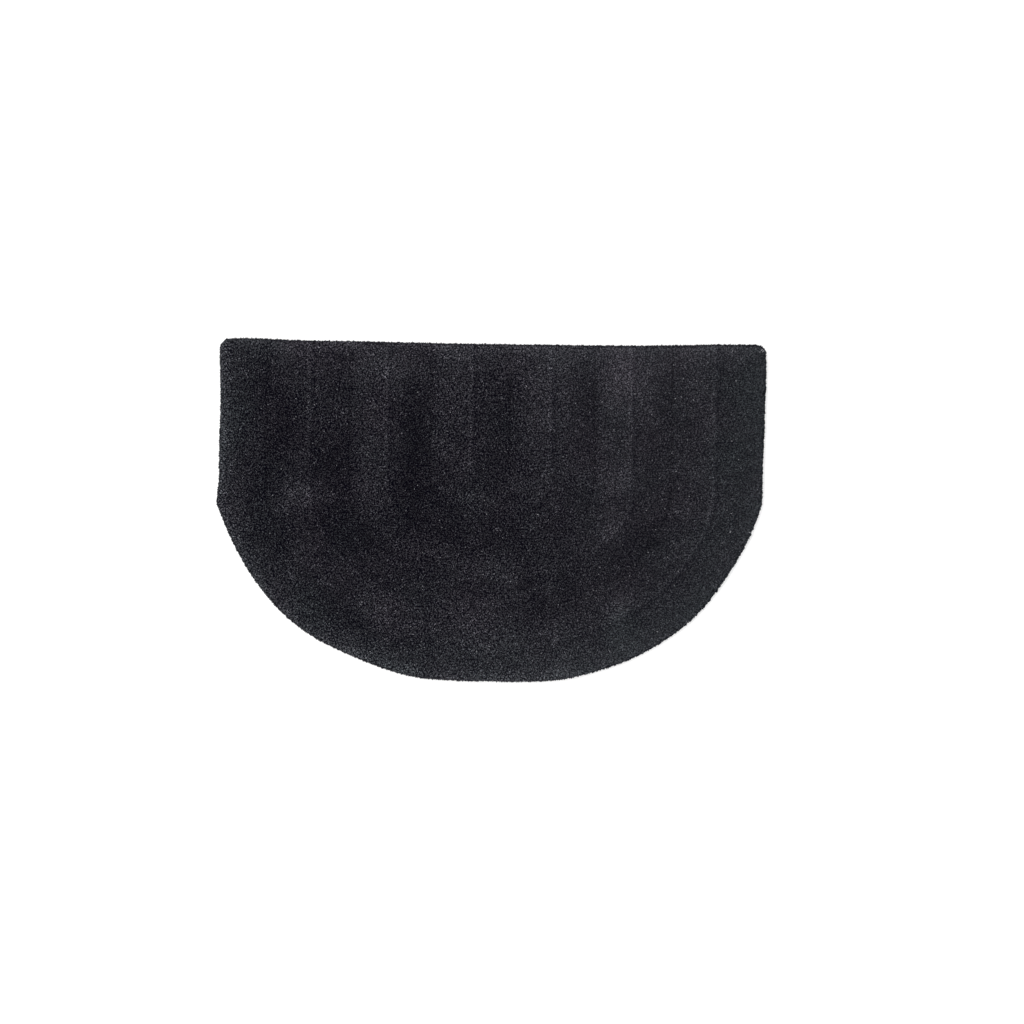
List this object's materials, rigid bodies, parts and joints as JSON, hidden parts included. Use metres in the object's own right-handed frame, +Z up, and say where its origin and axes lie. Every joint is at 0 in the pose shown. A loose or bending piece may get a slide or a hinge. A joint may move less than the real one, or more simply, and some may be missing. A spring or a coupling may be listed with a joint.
{
  "type": "half-round doormat",
  "caption": "Half-round doormat of dense short cut pile with a straight edge at the door, short straight legs, a wide curve, and shallow carved bands that echo its outline.",
  "frame": {"origin": "on the underside, below the middle of the mat's outline", "axes": "+X along the straight edge, +Y from the foot of the curve towards the straight edge, +Z up out of the pile"},
  "size_m": [0.7992, 0.4966, 0.0152],
  "materials": {
    "pile": "charcoal blue-black cut pile, matt, with paler fibre tips"
  },
  "bodies": {
    "root": {"mat": "pile"}
  },
  "joints": []
}
